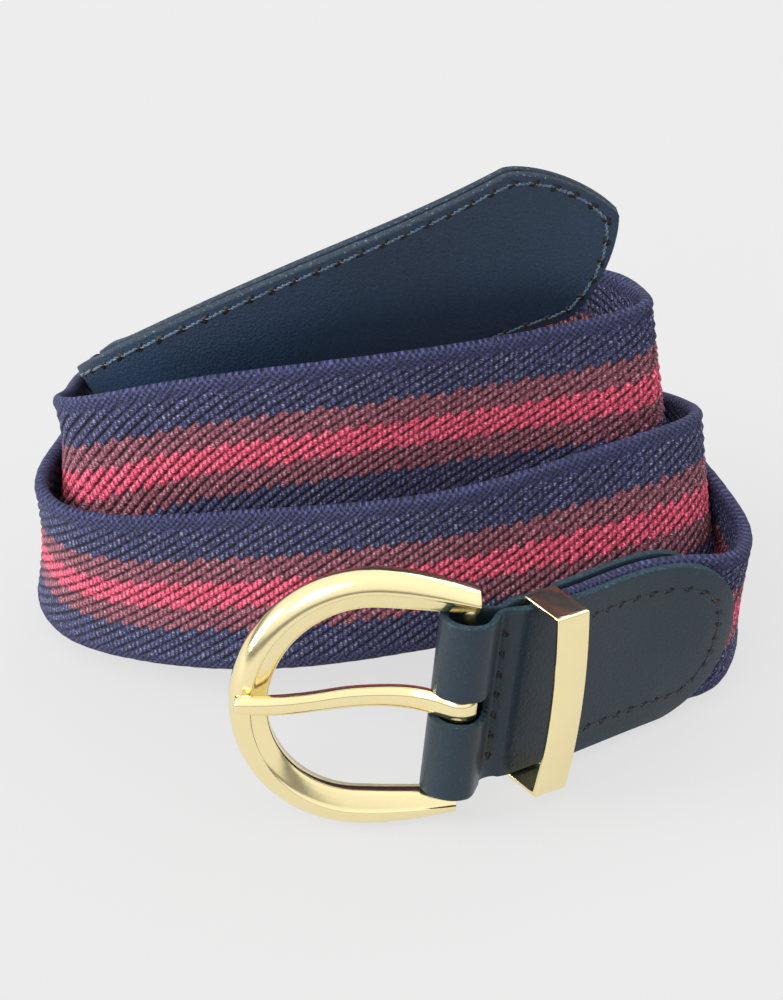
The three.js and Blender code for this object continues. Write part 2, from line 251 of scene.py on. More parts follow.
# The prong from behind the bar to its tip: distance from the bar, height over the frame's middle, half width
PRONG = [
    (-2.9, 1.35, 2.2),
    (-1.6, 2.3, 2.25),
    (0, 2.75, 2.25),
    (2, 2.3, 2.25),
    (4, 1.05, 2.25),
    (6.5, -0.3, 2.2),
    (11, -1.2, 2.1),
    (16, -0.9, 2.0),
    (20.5, 0.1, 2.0),
    (25.5, 1.8, 1.9),
    (30.5, 3.3, 1.85),
    (35, 4.1, 1.8),
    (40.5, 4.35, 1.6),
]

# Half of the prong's section: across in half widths, outward in half thicknesses
PRONG_SIDE = [(0.42, 1), (0.9, 0.45), (1, 0.1), (1, -0.7), (0.8, -1)]

# Section of the D: share of the way from its inner to its outer edge, height in half thicknesses
D_SECTION = [
    (0.06, -1),
    (0.9, -1),
    (0.965, -0.9),
    (1, -0.7),
    (1, -0.45),
    (0.985, -0.15),
    (0.95, 0.15),
    (0.9, 0.4),
    (0.83, 0.62),
    (0.75, 0.79),
    (0.66, 0.91),
    (0.57, 0.98),
    (0.515, 1),
    (0.488, 0.975),
    (0.476, 0.91),
    (0.455, 0.865),
    (0.4, 0.81),
    (0.25, 0.64),
    (0.12, 0.48),
    (0.045, 0.36),
    (0.01, 0.24),
    (0, 0.1),
    (0, -0.85),
]


# Curves and tables


def natural_spline(knots, values):
    """Natural cubic spline: a function of an array of places that gives the values and the slopes there."""
    knots = np.asarray(knots, float)
    values = np.asarray(values, float)
    last = len(knots) - 1
    step = np.diff(knots)
    rise = np.diff(values, axis=0) / step[:, None]
    system = np.eye(last + 1)
    right = np.zeros_like(values)
    for i in range(1, last):
        system[i, i - 1 : i + 2] = step[i - 1], 2 * (step[i - 1] + step[i]), step[i]
        right[i] = 6 * (rise[i] - rise[i - 1])
    bend = np.linalg.solve(system, right)

    def at(places):
        i = np.clip(np.searchsorted(knots, places) - 1, 0, last - 1)
        h = step[i][:, None]
        b = (places - knots[i])[:, None] / h
        a = 1 - b
        curve = ((a**3 - a) * bend[i] + (b**3 - b) * bend[i + 1]) * h**2 / 6
        slope = ((3 * b * b - 1) * bend[i + 1] - (3 * a * a - 1) * bend[i]) * h / 6
        return a * values[i] + b * values[i + 1] + curve, rise[i] + slope

    return at


def eased(table, places):
    """Eased interpolation in a table of (place, value) rows."""
    places = np.asarray(places, float)
    value = np.full(places.shape, float(table[0][1]))
    for (low, before), (high, after) in zip(table, table[1:]):
        t = np.clip((places - low) / (high - low), 0, 1)
        value = np.where(places >= low, before + (after - before) * t * t * (3 - 2 * t), value)
    return value


# The strap as a ribbon: its frame at any distance from the bar

PLACES = np.array([row[1:5] for row in STATIONS], float)
KNOTS = np.concatenate([[0], np.cumsum(np.linalg.norm(np.diff(PLACES[:, :3], axis=0), axis=1))])
RIBBON = natural_spline(KNOTS, PLACES)
ARC_STEP = 0.25
ARC_KNOTS = np.arange(0, KNOTS[-1] + 1e-9, ARC_STEP)
ARC_SPEED = np.linalg.norm(RIBBON(ARC_KNOTS[1:] - ARC_STEP / 2)[1][:, :3], axis=1)
ARC = np.concatenate([[0], np.cumsum(ARC_STEP * ARC_SPEED)])
STRAP_END = ARC[-1]
TIP_START = STRAP_END - TIP_LENGTH
ELASTIC_END = TIP_START + TIP_LAP
BAR_PLACE = np.array(frame["record"]["behaviour"]["joints"][0]["pos_m"]) * 1000
OFFSET = BAR_PLACE - PLACES[0, :3]


def strap_frame(distance):
    """Middle point, direction to the tip, up across the width, and outward, for an array of distances."""
    distance = np.asarray(distance, float)
    inside = np.clip(distance, 0, STRAP_END)
    value, slope = RIBBON(np.interp(inside, ARC, ARC_KNOTS))
    along = slope[:, :3] / np.linalg.norm(slope[:, :3], axis=1, keepdims=True)
    up = np.array([0, 0, 1.0]) - along * along[:, 2:]
    up /= np.linalg.norm(up, axis=1, keepdims=True)
    out = np.cross(along, up)
    lean = np.radians(value[:, 3:4])
    up, out = np.cos(lean) * up + np.sin(lean) * out, np.cos(lean) * out - np.sin(lean) * up
    point = value[:, :3] + along * (distance - inside)[:, None] + OFFSET
    return point, along, up, out


def frame_at(distance):
    """The same for one distance."""
    return [vectors[0] for vectors in strap_frame([distance])]


def on_strap(distance, across, outward):
    """Points on the strap in metres, for arrays of the same shape."""
    distance, across, outward = np.broadcast_arrays(
        np.asarray(distance, float), np.asarray(across, float), np.asarray(outward, float)
    )
    point, _, up, out = strap_frame(distance.ravel())
    made = point + up * across.ravel()[:, None] + out * outward.ravel()[:, None]
    return (made / 1000).reshape(*distance.shape, 3)


# Mesh objects


def new_object(name, verts, faces, *materials):
    """A mesh object with smooth faces."""
    data = bpy.data.meshes.new(name)
    data.from_pydata([tuple(v) for v in np.asarray(verts).reshape(-1, 3).tolist()], [], faces)
    data.polygons.foreach_set("use_smooth", [True] * len(data.polygons))
    data.update()
    made = bpy.data.objects.new(name, data)
    bpy.context.scene.collection.objects.link(made)
    for material in materials:
        data.materials.append(material)
    return made


def loft_faces(rings, size, first=0, closed=False):
    """Faces between rings of the same size, with flat ends where the loft isn't closed on itself."""
    faces = []
    for r in range(rings if closed else rings - 1):
        a, b = first + r * size, first + ((r + 1) % rings) * size
        faces += [(a + i, a + (i + 1) % size, b + (i + 1) % size, b + i) for i in range(size)]
    if not closed:
        end = first + (rings - 1) * size
        faces.append(tuple(reversed(range(first, first + size))))
        faces.append(tuple(range(end, end + size)))
    return faces


def outward_faces(obj):
    """Turns the faces of each closed shell outward."""
    work = bmesh.new()
    work.from_mesh(obj.data)
    bmesh.ops.recalc_face_normals(work, faces=work.faces)
    work.to_mesh(obj.data)
    work.free()
    return obj


def sharpened(obj, angle):
    """Smooth faces that are sharp over an angle."""
    obj.data.polygons.foreach_set("use_smooth", [True] * len(obj.data.polygons))
    obj.data.set_sharp_from_angle(angle=math.radians(angle))
    return obj


def applied(obj):
    """The object with its modifiers applied to its mesh."""
    bpy.context.view_layer.update()
    seen = obj.evaluated_get(bpy.context.evaluated_depsgraph_get())
    old = obj.data
    obj.data = bpy.data.meshes.new_from_object(seen)
    obj.modifiers.clear()
    bpy.data.meshes.remove(old)
    return obj


def bevelled(obj, width, segments, angle):
    """Rounds the edges over an angle."""
    bevel = obj.modifiers.new("bevel", "BEVEL")
    bevel.width = width / 1000
    bevel.segments = segments
    bevel.limit_method = "ANGLE"
    bevel.angle_limit = math.radians(angle)
    return sharpened(applied(obj), angle)


# Materials


class Shader:
    """A material's nodes, with short calls for the ones used here."""

    def __init__(self, name):
        self.material = bpy.data.materials.new(name)
        self.material.use_nodes = True
        self.tree = self.material.node_tree
        self.tree.nodes.clear()
        self.output = self.tree.nodes.new("ShaderNodeOutputMaterial")
        self.main = self.tree.nodes.new("ShaderNodeBsdfPrincipled")
        self.tree.links.new(self.main.outputs[0], self.output.inputs["Surface"])

    def link(self, source, target):
        """Puts a number or colour on a socket, or links another socket to it."""
        if isinstance(source, (int, float)):
            target.default_value = source
        elif isinstance(source, tuple):
            target.default_value = source if len(target.default_value) == len(source) else (*source, 1)
        else:
            self.tree.links.new(source, target)

    def set(self, name, value):
        self.link(value, self.main.inputs[name])

    def math(self, operation, a, b=0.0, c=0.0):
        node = self.tree.nodes.new("ShaderNodeMath")
        node.operation = operation
        for value, socket in zip((a, b, c), node.inputs):
            self.link(value, socket)
        return node.outputs[0]

    def smooth(self, value, low, high, to_low=0.0, to_high=1.0):
        node = self.tree.nodes.new("ShaderNodeMapRange")
        node.interpolation_type = "SMOOTHSTEP"
        names = ("Value", "From Min", "From Max", "To Min", "To Max")
        for source, name in zip((value, low, high, to_low, to_high), names):
            self.link(source, node.inputs[name])
        return node.outputs[0]

    def mix(self, share, a, b, blend="MIX"):
        node = self.tree.nodes.new("ShaderNodeMix")
        node.data_type = "RGBA"
        node.blend_type = blend
        self.link(share, node.inputs[0])
        self.link(a, node.inputs[6])
        self.link(b, node.inputs[7])
        return node.outputs[2]

    def shaded(self, colour, shade):
        return self.mix(1.0, colour, self.vector(shade, shade, shade), "MULTIPLY")

    def attribute(self, name):
        node = self.tree.nodes.new("ShaderNodeAttribute")
        node.attribute_name = name
        split = self.tree.nodes.new("ShaderNodeSeparateXYZ")
        self.tree.links.new(node.outputs["Vector"], split.inputs[0])
        return split.outputs

    def place(self):
        return self.tree.nodes.new("ShaderNodeTexCoord").outputs["Object"]

    def vector(self, x, y, z=0.0):
        node = self.tree.nodes.new("ShaderNodeCombineXYZ")
        for value, socket in zip((x, y, z), node.inputs):
            self.link(value, socket)
        return node.outputs[0]

    def noise(self, vector, scale, detail=2.0, roughness=0.5):
        node = self.tree.nodes.new("ShaderNodeTexNoise")
        self.link(vector, node.inputs["Vector"])
        node.inputs["Scale"].default_value = scale
        node.inputs["Detail"].default_value = detail
        node.inputs["Roughness"].default_value = roughness
        return node.outputs[0]

    def cells(self, vector, scale):
        node = self.tree.nodes.new("ShaderNodeTexVoronoi")
        self.link(vector, node.inputs["Vector"])
        node.inputs["Scale"].default_value = scale
        return node.outputs["Distance"]

    def random(self, value):
        node = self.tree.nodes.new("ShaderNodeTexWhiteNoise")
        node.noise_dimensions = "1D"
        self.link(value, node.inputs["W"])
        return node.outputs["Value"]

    def ramp(self, value, stops, constant=False):
        node = self.tree.nodes.new("ShaderNodeValToRGB")
        node.color_ramp.interpolation = "CONSTANT" if constant else "LINEAR"
        fill_ramp(node.color_ramp, stops)
        self.link(value, node.inputs[0])
        return node.outputs[0]

    def bump(self, height, distance):
        """A bump map, with the distance in metres that a height of 1 stands for."""
        node = self.tree.nodes.new("ShaderNodeBump")
        node.inputs["Distance"].default_value = distance
        self.link(height, node.inputs["Height"])
        self.link(node.outputs[0], self.main.inputs["Normal"])


def fill_ramp(color_ramp, stops):
    """Gives a colour ramp its stops, (position, colour) each."""
    while len(color_ramp.elements) < len(stops):
        color_ramp.elements.new(0.5)
    for element, (position, colour) in zip(color_ramp.elements, stops):
        element.position = position
        element.color = (*colour, 1)


def linear(*screen):
    """A linear colour from the screen's 0 to 255."""
    shares = [value / 255 for value in screen]
    return tuple(c / 12.92 if c <= 0.04045 else ((c + 0.055) / 1.055) ** 2.4 for c in shares)


PINK = linear(255, 92, 128)
BURGUNDY = linear(158, 86, 104)
NAVY = linear(62, 66, 112)
# Colour of the painted highlights on the weave's strand tips
YARN_GLINT = linear(236, 230, 245)


def rope_places(m, s, a):
    """The rope's number, the way from its crest as a share of a rope, and how far across its crest is."""
    upright = m.math("SUBTRACT", s, m.math("MULTIPLY", a, 1 / math.tan(RIB_ANGLE)))
    turn = m.math("DIVIDE", upright, RIB_PERIOD)
    from_crest = m.math("SUBTRACT", m.math("FRACT", turn), 0.5)
    from_middle = m.math("MULTIPLY", from_crest, RIB_PERIOD * math.sin(RIB_ANGLE))
    crest_across = m.math("MULTIPLY_ADD", from_middle, math.cos(RIB_ANGLE), a)
    return m.math("FLOOR", turn), from_crest, crest_across


def stripes(m, crest_across, rope_lot):
    """Pink, burgundy and navy. Each rope changes colour at its own crest, which gives stepped borders."""
    reach = STRAP_HALF + 2
    shift = m.math("MULTIPLY_ADD", rope_lot, STRIPE_SHIFT, -STRIPE_SHIFT / 2)
    place = m.math("DIVIDE", m.math("ABSOLUTE", m.math("ADD", crest_across, shift)), reach)
    stops = [(0, PINK), (PINK_HALF / reach, BURGUNDY), (BURGUNDY_HALF / reach, NAVY)]
    return m.ramp(place, stops, constant=True)


def knots(m, rope, from_crest, crest_across, rope_lot):
    """The height of a rope's slanted knots, and a random number for each of them."""
    knot = m.math("ADD", m.math("DIVIDE", crest_across, KNOT_PITCH * math.sin(RIB_ANGLE)), rope_lot)
    slant = m.math("MULTIPLY_ADD", from_crest, KNOT_SLANT, knot)
    from_top = m.math("SUBTRACT", m.math("FRACT", slant), 0.5)
    seed = m.math("MULTIPLY_ADD", m.math("FLOOR", slant), KNOT_SEED, m.math("MULTIPLY", rope, ROPE_SEED))
    return m.smooth(m.math("ABSOLUTE", from_top), 0.5, KNOT_TOP), m.random(seed)


def strands(m, s, a, knot_lot):
    """Yarn strands, which cross the ropes at a slant and differ from knot to knot."""
    cos, sin = math.cos(RIB_ANGLE), math.sin(RIB_ANGLE)
    along_rope = m.math("MULTIPLY_ADD", s, cos, m.math("MULTIPLY", a, sin))
    over_rope = m.math("MULTIPLY_ADD", s, -sin, m.math("MULTIPLY", a, cos))
    skewed = m.math("MULTIPLY_ADD", over_rope, STRAND_SKEW, along_rope)
    at = m.vector(
        m.math("MULTIPLY", skewed, STRANDS_ALONG),
        m.math("MULTIPLY", over_rope, STRANDS_OVER),
        m.math("MULTIPLY", knot_lot, STRAND_SHIFT),
    )
    return m.smooth(m.noise(at, 1.0, 1, 0.6), 0.34, 0.66)


def edge_weave(m, s, a):
    """The height of the small square knots of the edge, and the share that they have of the surface."""
    along = m.math("SINE", m.math("MULTIPLY", s, 2 * math.pi / EDGE_KNOT))
    across = m.math("SINE", m.math("MULTIPLY", a, 2 * math.pi / EDGE_KNOT))
    height = m.math("MULTIPLY_ADD", m.math("MULTIPLY", along, across), 0.4, 0.5)
    start = STRAP_HALF - EDGE_BAND
    return height, m.smooth(m.math("ABSOLUTE", a), start - EDGE_BLEND, start + EDGE_BLEND)


def weave_material():
    """Twill of thick ropes: each rope is a chain of knots, and finer knots run along the strap's edges."""
    m = Shader("striped_weave")
    s, a, _ = m.attribute("weave")
    rope, from_crest, crest_across = rope_places(m, s, a)
    rope_lot = m.random(rope)
    base = stripes(m, crest_across, rope_lot)
    rope_height = m.smooth(m.math("ABSOLUTE", from_crest), 0.5, ROPE_TOP)
    knot_height, knot_lot = knots(m, rope, from_crest, crest_across, rope_lot)
    strand = strands(m, s, a, knot_lot)
    clump = m.noise(m.vector(s, a), CLUMPS, 2, 0.6)
    knotted = m.math("MULTIPLY_ADD", knot_height, 0.6, m.math("MULTIPLY_ADD", clump, 0.9, -0.05))
    twill = m.math("MULTIPLY", rope_height, knotted)
    bridge = m.math("MULTIPLY", m.math("SUBTRACT", 1.0, rope_height), m.smooth(clump, 0.45, 0.6, 0.0, 0.5))
    edge_height, edge = edge_weave(m, s, a)
    middle = m.math("MULTIPLY", m.math("ADD", twill, bridge), m.math("SUBTRACT", 1.0, edge))
    shape = m.math("MULTIPLY_ADD", edge_height, edge, middle)
    # Painted shade and light: the colour is darker in the grooves between ropes and knots and in the gaps
    # between strands, and lighter on the strand tops
    grain = m.math("MULTIPLY_ADD", strand, 1.1, 0.5)
    shade = m.math("MULTIPLY", m.math("MULTIPLY_ADD", shape, 1.3, 0.02), grain)
    # Painted highlights: pale glints on the strand tops over the raised ropes and knots
    glint = m.math("MULTIPLY", m.smooth(strand, 0.7, 1.0), m.smooth(middle, 0.45, 0.95))
    pale = m.mix(0.42, base, YARN_GLINT)
    m.set("Base Color", m.mix(m.math("MULTIPLY", glint, 0.75), m.shaded(base, shade), pale))
    m.set("Roughness", 0.7)
    m.set("Sheen Weight", 0.04)
    m.set("Sheen Roughness", 0.5)
    m.set("Specular IOR Level", 0.35)
    m.bump(m.math("MULTIPLY_ADD", strand, 0.5, shape), distance=0.0005)
    return m.material


def leather_material(name, colour, roughness, grain, depth):
    """Leather with pores, a slow change of tone and small pale specks, which are painted highlights of the
    pores.
    """
    m = Shader(name)
    place = m.place()
    tone = m.math("MULTIPLY_ADD", m.noise(place, 60, 3), 0.5, 0.75)
    pore_glint = m.smooth(m.noise(place, 2600, 2), 0.54, 0.72)
    # Colour of the painted pore highlights
    pale = tuple(min(1, c * 5) for c in colour)
    m.set("Base Color", m.mix(m.math("MULTIPLY", pore_glint, 0.14), m.shaded(colour, tone), pale))
    m.set("Roughness", m.math("MULTIPLY_ADD", m.noise(place, 900, 2), 0.2, roughness - 0.1))
    m.set("Specular IOR Level", 0.42)
    fine = m.noise(place, grain * 2.3, 2)
    m.bump(m.math("ADD", m.cells(place, grain), m.math("MULTIPLY", fine, 0.7)), depth)
    return m.material


def edge_material(name, dark, middle, light):
    """The cut edge of a leather: rough fibre in its own dark and middle tones, with pale specks that are
    painted highlights.
    """
    m = Shader(name)
    fibre = m.noise(m.place(), 1800, 4, 0.7)
    # The light stop paints glints on the edge; the dark and middle stops are the fibre's own colour
    m.set("Base Color", m.ramp(fibre, [(0.3, dark), (0.58, middle), (0.8, light)]))
    m.set("Roughness", 0.75)
    m.bump(fibre, distance=0.0002)
    return m.material


def gold_material():
    """Polished pale gold plate with a faint waviness."""
    m = Shader("pale_gold")
    place = m.place()
    m.set("Base Color", m.mix(m.noise(place, 90, 2), linear(255, 240, 190), linear(252, 234, 178)))
    m.set("Metallic", 1.0)
    m.set("Roughness", m.math("MULTIPLY_ADD", m.noise(place, 500, 3), 0.1, 0.1))
    m.bump(m.noise(place, 220, 2), distance=0.00003)
    return m.material


def thread_material(name, dark, light):
    """Sewing thread with fine fibres."""
    m = Shader(name)
    fibre = m.noise(m.place(), 4000, 3, 0.6)
    m.set("Base Color", m.mix(m.smooth(fibre, 0.4, 0.7), dark, light))
    m.set("Roughness", 0.5)
    m.set("Sheen Weight", 0.2)
    m.bump(fibre, distance=0.00006)
    return m.material


def hole_material():
    """Painted shade inside a needle hole: near black, with a little reddish brown as a painted glint."""
    m = Shader("needle_hole")
    # Share of the painted reddish-brown glint in the hole
    raw = m.smooth(m.noise(m.place(), 1500, 1), 0.62, 0.75)
    m.set("Base Color", m.mix(raw, linear(4, 5, 8), linear(84, 48, 38)))
    m.set("Roughness", 0.6)
    return m.material


def floor_material():
    """A pale floor that gives off most of its own light, so that only soft shadows show on it."""
    m = Shader("floor_pale")
    m.set("Base Color", (0.1, 0.1, 0.1))
    m.set("Emission Color", (1.0, 1.0, 1.0))
    m.set("Emission Strength", FLOOR_GLOW)
    m.set("Roughness", 0.9)
    m.set("Specular IOR Level", 0.2)
    return m.material


WEAVE = weave_material()
TAB_LEATHER = leather_material("tab_leather", linear(28, 43, 54), roughness=0.36, grain=1500, depth=0.00004)
TIP_LEATHER = leather_material("tip_leather", linear(24, 44, 66), roughness=0.55, grain=1900, depth=0.0001)
TAB_EDGE = edge_material("tab_edge", linear(16, 32, 44), linear(32, 62, 74), linear(100, 130, 145))
TIP_EDGE = edge_material("tip_edge", linear(16, 28, 44), linear(28, 46, 62), linear(150, 170, 180))
GOLD = gold_material()
TIP_THREAD = thread_material("tip_thread", linear(34, 52, 72), linear(112, 136, 158))
TAB_THREAD = thread_material("tab_thread", linear(16, 24, 34), linear(44, 58, 72))
HOLE = hole_material()
NODE_MATERIALS = {
    "elastic_strap": WEAVE,
    "buckle_tab": TAB_LEATHER,
    "tip_front": TIP_LEATHER,
    "tip_back": TIP_LEATHER,
    "buckle_frame": GOLD,
    "prong": GOLD,
    "keeper": GOLD,
}


# Elastic


def elastic_section():
    """Points round the elastic: across, outward, and both parts of the outward direction there."""
    edge = STRAP_HALF - ELASTIC_HALF
    rows = []
    for side in (1, -1):
        for a in np.linspace(-edge * side, edge * side, FACE_ROWS + 1):
            rows.append((a, ELASTIC_HALF * side, 0, side))
        for i in range(1, EDGE_STEPS):
            turn = math.pi * (0.5 - i / EDGE_STEPS)
            across, outward = side * math.cos(turn), side * math.sin(turn)
            rows.append((side * edge + ELASTIC_HALF * across, ELASTIC_HALF * outward, across, outward))
    return np.array(rows)


def rope_depth(raw, across, phase):
    """How far the surface lies under the top of the ropes, for every column and point of the section."""
    groove = 1 - np.sin(np.pi * phase) ** 0.75
    waves = np.sin(raw * WOBBLE_ALONG + across * WOBBLE_ACROSS) * np.sin(raw * WOBBLE_SLOW)
    calm = 1 - np.clip((np.abs(across) - FLAT_FROM) / FLAT_WIDTH, 0, 1)
    share = FLAT_DEPTH_SHARE + (1 - FLAT_DEPTH_SHARE) * calm
    return RIB_DEPTH * groove * share + np.abs(WOBBLE_DEPTH * waves)


def closed_shell(obj):
    """Joins the points that fell together at the cut ends, fills the ends and turns the faces outward."""
    work = bmesh.new()
    work.from_mesh(obj.data)
    bmesh.ops.remove_doubles(work, verts=work.verts, dist=2e-6)
    bmesh.ops.delete(work, geom=[v for v in work.verts if not v.link_faces], context="VERTS")
    bmesh.ops.holes_fill(work, edges=[e for e in work.edges if e.is_boundary], sides=0)
    bmesh.ops.recalc_face_normals(work, faces=work.faces)
    work.to_mesh(obj.data)
    work.free()
    obj.data.polygons.foreach_set("use_smooth", [True] * len(obj.data.polygons))
    return obj


def elastic_webbing():
    """The elastic: its columns of points lean with the twill, so the ropes stand out of the mesh."""
    section = elastic_section()
    size = len(section)
    section_across, section_outward, normal_across, normal_outward = section.T[:, None]
    shear = 1 / math.tan(RIB_ANGLE)
    step = RIB_PERIOD / COLUMNS_PER_RIB
    reach = STRAP_HALF * shear
    first = math.floor((ELASTIC_START - reach) / step) - 1
    last = math.ceil((ELASTIC_END + reach) / step) + 1
    column = np.arange(first, last + 1)[:, None]
    phase = (column % COLUMNS_PER_RIB) / COLUMNS_PER_RIB
    raw = column * step + section_across * shear
    s = np.clip(raw, ELASTIC_START, ELASTIC_END)
    loose = (raw > ELASTIC_START) & (raw < ELASTIC_END)
    depth = rope_depth(raw, section_across, phase) * loose
    verts = on_strap(s, section_across - normal_across * depth, section_outward - normal_outward * depth)
    sides = loft_faces(len(column), size)[:-2]
    faces = [f for f in sides if any(loose[v // size, v % size] for v in f)]
    made = new_object("elastic_webbing", verts, faces, WEAVE)
    weave = made.data.attributes.new("weave", "FLOAT_VECTOR", "POINT")
    values = np.stack([s, np.broadcast_to(section_across, s.shape), np.zeros_like(s)], axis=-1)
    weave.data.foreach_set("vector", values.astype(np.float32).ravel())
    return closed_shell(made)


# Leathers


def arch_share(before, arch, power):
    """Share of the full half width at a distance before the end of a leather with a rounded end."""
    t = np.clip(1 - np.asarray(before, float) / arch, 0, 1)
    return np.maximum((1 - t**power) ** (1 / power), 0.02)


def arched_places(start, end, arch, step):
    """Places along a leather, evenly spaced up to its rounded end and closer there."""
    straight = np.arange(start, end - arch, step)
    turn = np.linspace(0, math.pi / 2, ARCH_STEPS)
    return np.concatenate([straight, end - arch + arch * np.sin(turn)])


def leather_ring(half, thick):
    """Section of one leather as (across, share from inner to outer) with rounded outer edges."""
    r = min(EDGE_ROUND, half / 3)
    inner_r = r * 0.4
    drop = r / thick
    turns = np.linspace(0, math.pi / 2, EDGE_ARC_POINTS)
    outer_arc = [(half - r + r * math.cos(t), 1 - drop + drop * math.sin(t)) for t in turns]
    right = [(half - inner_r, 0.0), (half, inner_r / thick), *outer_arc]
    top = [(a, 1.0) for a in np.linspace(half - r, r - half, ACROSS_CELLS + 1)[1:-1]]
    left = [(-a, h) for a, h in reversed(right)]
    back = [(a, 0.0) for a in np.linspace(inner_r - half, half - inner_r, ACROSS_CELLS + 1)[1:-1]]
    return np.array([*right, *top, *left, *back])


def leather_object(name, rows, face, edge):
    """A leather lofted along rows of half width and the (place, outward) of its inner and outer surface."""
    rings = []
    for half, low, high in rows:
        low, high = np.array(low), np.array(high)
        ring = leather_ring(half, np.linalg.norm(high - low))
        rings.append(np.column_stack([ring[:, 0], low + (high - low) * ring[:, 1:]]))
    rings = np.array(rings)
    verts = on_strap(rings[..., 1], rings[..., 0], rings[..., 2])
    size = rings.shape[1]
    made = new_object(name, verts, loft_faces(len(rings), size), face, edge)
    edge_cells = EDGE_ARC_POINTS + 1
    upper_edge = range(edge_cells - 1)
    lower_edge = range(edge_cells + ACROSS_CELLS, 2 * edge_cells + ACROSS_CELLS)
    marks = [int(i % size in upper_edge or i % size in lower_edge) for i in range((len(rings) - 1) * size)]
    made.data.polygons.foreach_set("material_index", [*marks, 1, 1])
    return sharpened(outward_faces(made), 50)


def tip_surface(places):
    """Distance of the tip's outer surface from the strap's middle."""
    return eased(TIP_GAP, places - TIP_START) + LEATHER


def tip_leather(name, side):
    """One of the tip's two leathers, on the outer (1) or inner (-1) side of the strap."""
    places = arched_places(TIP_START, STRAP_END, TIP_ARCH, 1.2)
    halves = STRAP_HALF * arch_share(STRAP_END - places, TIP_ARCH, TIP_POWER)
    gap = eased(TIP_GAP, places - TIP_START)
    rows = [(h, (s, side * g), (s, side * (g + LEATHER))) for s, g, h in zip(places, gap, halves)]
    return leather_object(name, rows, TIP_LEATHER, TIP_EDGE)


def tab_surface(places):
    """Distance of the tab's outer surface from the strap's middle, with the stitch row's pressed band."""
    press = PRESS_DEPTH * np.clip(1 - (np.abs(places - PRESS_MIDDLE) / PRESS_HALF) ** PRESS_POWER, 0, 1)
    return eased(TAB_GAP, places) + LEATHER - press


def tab_run(end, side):
    """Rows of the tab's front (1) or back (-1) half, from the bar to its rounded end."""
    places = arched_places(0, end, TAB_ARCH, 0.5)
    share = arch_share(end - places, TAB_ARCH, TAB_POWER)
    gap, top = eased(TAB_GAP, places), tab_surface(places)
    return [(STRAP_HALF * h, (s, side * g), (s, side * t)) for s, g, t, h in zip(places, gap, top, share)]


def slot_cutter():
    """A block through the fold, with two round corners, that leaves the slot for the prong."""
    turns = [math.pi / 2 * (1 - i / SLOT_CORNER_STEPS) for i in range(SLOT_CORNER_STEPS + 1)]
    corner_x = [SLOT_END - SLOT_ROUND * (1 - math.cos(t)) for t in turns]
    corner_y = [SLOT_HALF - SLOT_ROUND * (1 - math.sin(t)) for t in turns]
    upper = [(-SLOT_REACH, SLOT_HALF), *zip(corner_x, corner_y)]
    outline = [*upper, *[(x, -y) for x, y in reversed(upper)]]
    point, along, up, out = frame_at(0.0)
    ends = (-SLOT_CUT, SLOT_CUT)
    corners = [(point + along * x + up * y + out * end) / 1000 for end in ends for x, y in outline]
    cutter = new_object("slot_cutter", corners, loft_faces(2, len(outline)), TAB_LEATHER, TAB_EDGE)
    cutter.data.shade_flat()
    cutter.data.polygons.foreach_set("material_index", [1] * len(cutter.data.polygons))
    return outward_faces(cutter)


def tab_leather():
    """The tab: one leather from the front's end round the bar to the back's end, with the slot cut out."""
    rows = tab_run(TAB_FRONT_END, 1)[::-1]
    radius = FOLD_RADIUS + LEATHER
    for i in range(1, FOLD_STEPS):
        turn = math.pi * i / FOLD_STEPS
        away, out = -math.sin(turn), math.cos(turn)
        rows.append((STRAP_HALF, (away * FOLD_RADIUS, out * FOLD_RADIUS), (away * radius, out * radius)))
    rows += tab_run(TAB_BACK_END, -1)
    made = leather_object("tab_leather", rows, TAB_LEATHER, TAB_EDGE)
    cutter = slot_cutter()
    cut = made.modifiers.new("slot", "BOOLEAN")
    cut.operation = "DIFFERENCE"
    cut.solver = "EXACT"
    cut.object = cutter
    applied(made)
    bpy.data.objects.remove(cutter)
    made.data.set_sharp_from_angle(angle=math.radians(50))
    return made


# Buckle and keeper


def in_buckle(points):
    """Points in metres from the frame's own millimetres: away from the strap, down the bar, to the front."""
    point, along, up, out = frame_at(0.0)
    swing = math.radians(FRAME_SWING)
    away = -math.cos(swing) * along - math.sin(swing) * out
    front = -math.sin(swing) * along + math.cos(swing) * out
    points = np.asarray(points, float)
    return (point + points[..., :1] * away + points[..., 1:2] * -up + points[..., 2:3] * front) / 1000


def d_outline(end_half, radius, reach):
    """One edge of the D: an arm, the bend and the other arm."""
    t = np.arange(ARM_STEPS) / ARM_STEPS
    arm_y = end_half + (radius - end_half) * np.sin(np.pi / 2 * t)
    arm = np.stack([ARM_END + (FRAME_CENTRE - ARM_END) * t, arm_y], 1)
    turn = np.pi * (0.5 - np.arange(BEND_STEPS + 1) / BEND_STEPS)
    bend = np.stack([FRAME_CENTRE + reach * np.cos(turn), radius * np.sin(turn)], 1)
    return np.concatenate([arm, bend, (arm * [1, -1])[::-1]])


def d_frame():
    """The D frame with its bar: flat at the back, rounded outside, with a ridge and a ledge inside it."""
    outer = d_outline(ARM_OUTER, FRAME_OUTER, FRAME_REACH)
    inner = d_outline(ARM_INNER, FRAME_INNER, FRAME_REACH - FRAME_WEB)
    half = FRAME_THICK / 2
    rings = [
        [(*(i + (o - i) * share), height * half) for share, height in D_SECTION]
        for i, o in zip(inner, outer)
    ]
    verts = in_buckle(rings).reshape(-1, 3).tolist()
    faces = loft_faces(len(rings), len(D_SECTION))
    turns = np.linspace(0, 2 * np.pi, BAR_SIDES, endpoint=False)
    ends = (-BAR_HALF, BAR_HALF)
    bar = [[(BAR_RADIUS * math.cos(u), end, BAR_RADIUS * math.sin(u)) for u in turns] for end in ends]
    faces += loft_faces(2, BAR_SIDES, first=len(verts))
    verts += in_buckle(bar).reshape(-1, 3).tolist()
    made = outward_faces(new_object("d_frame", verts, faces, GOLD))
    return bevelled(made, width=0.7, segments=4, angle=60)


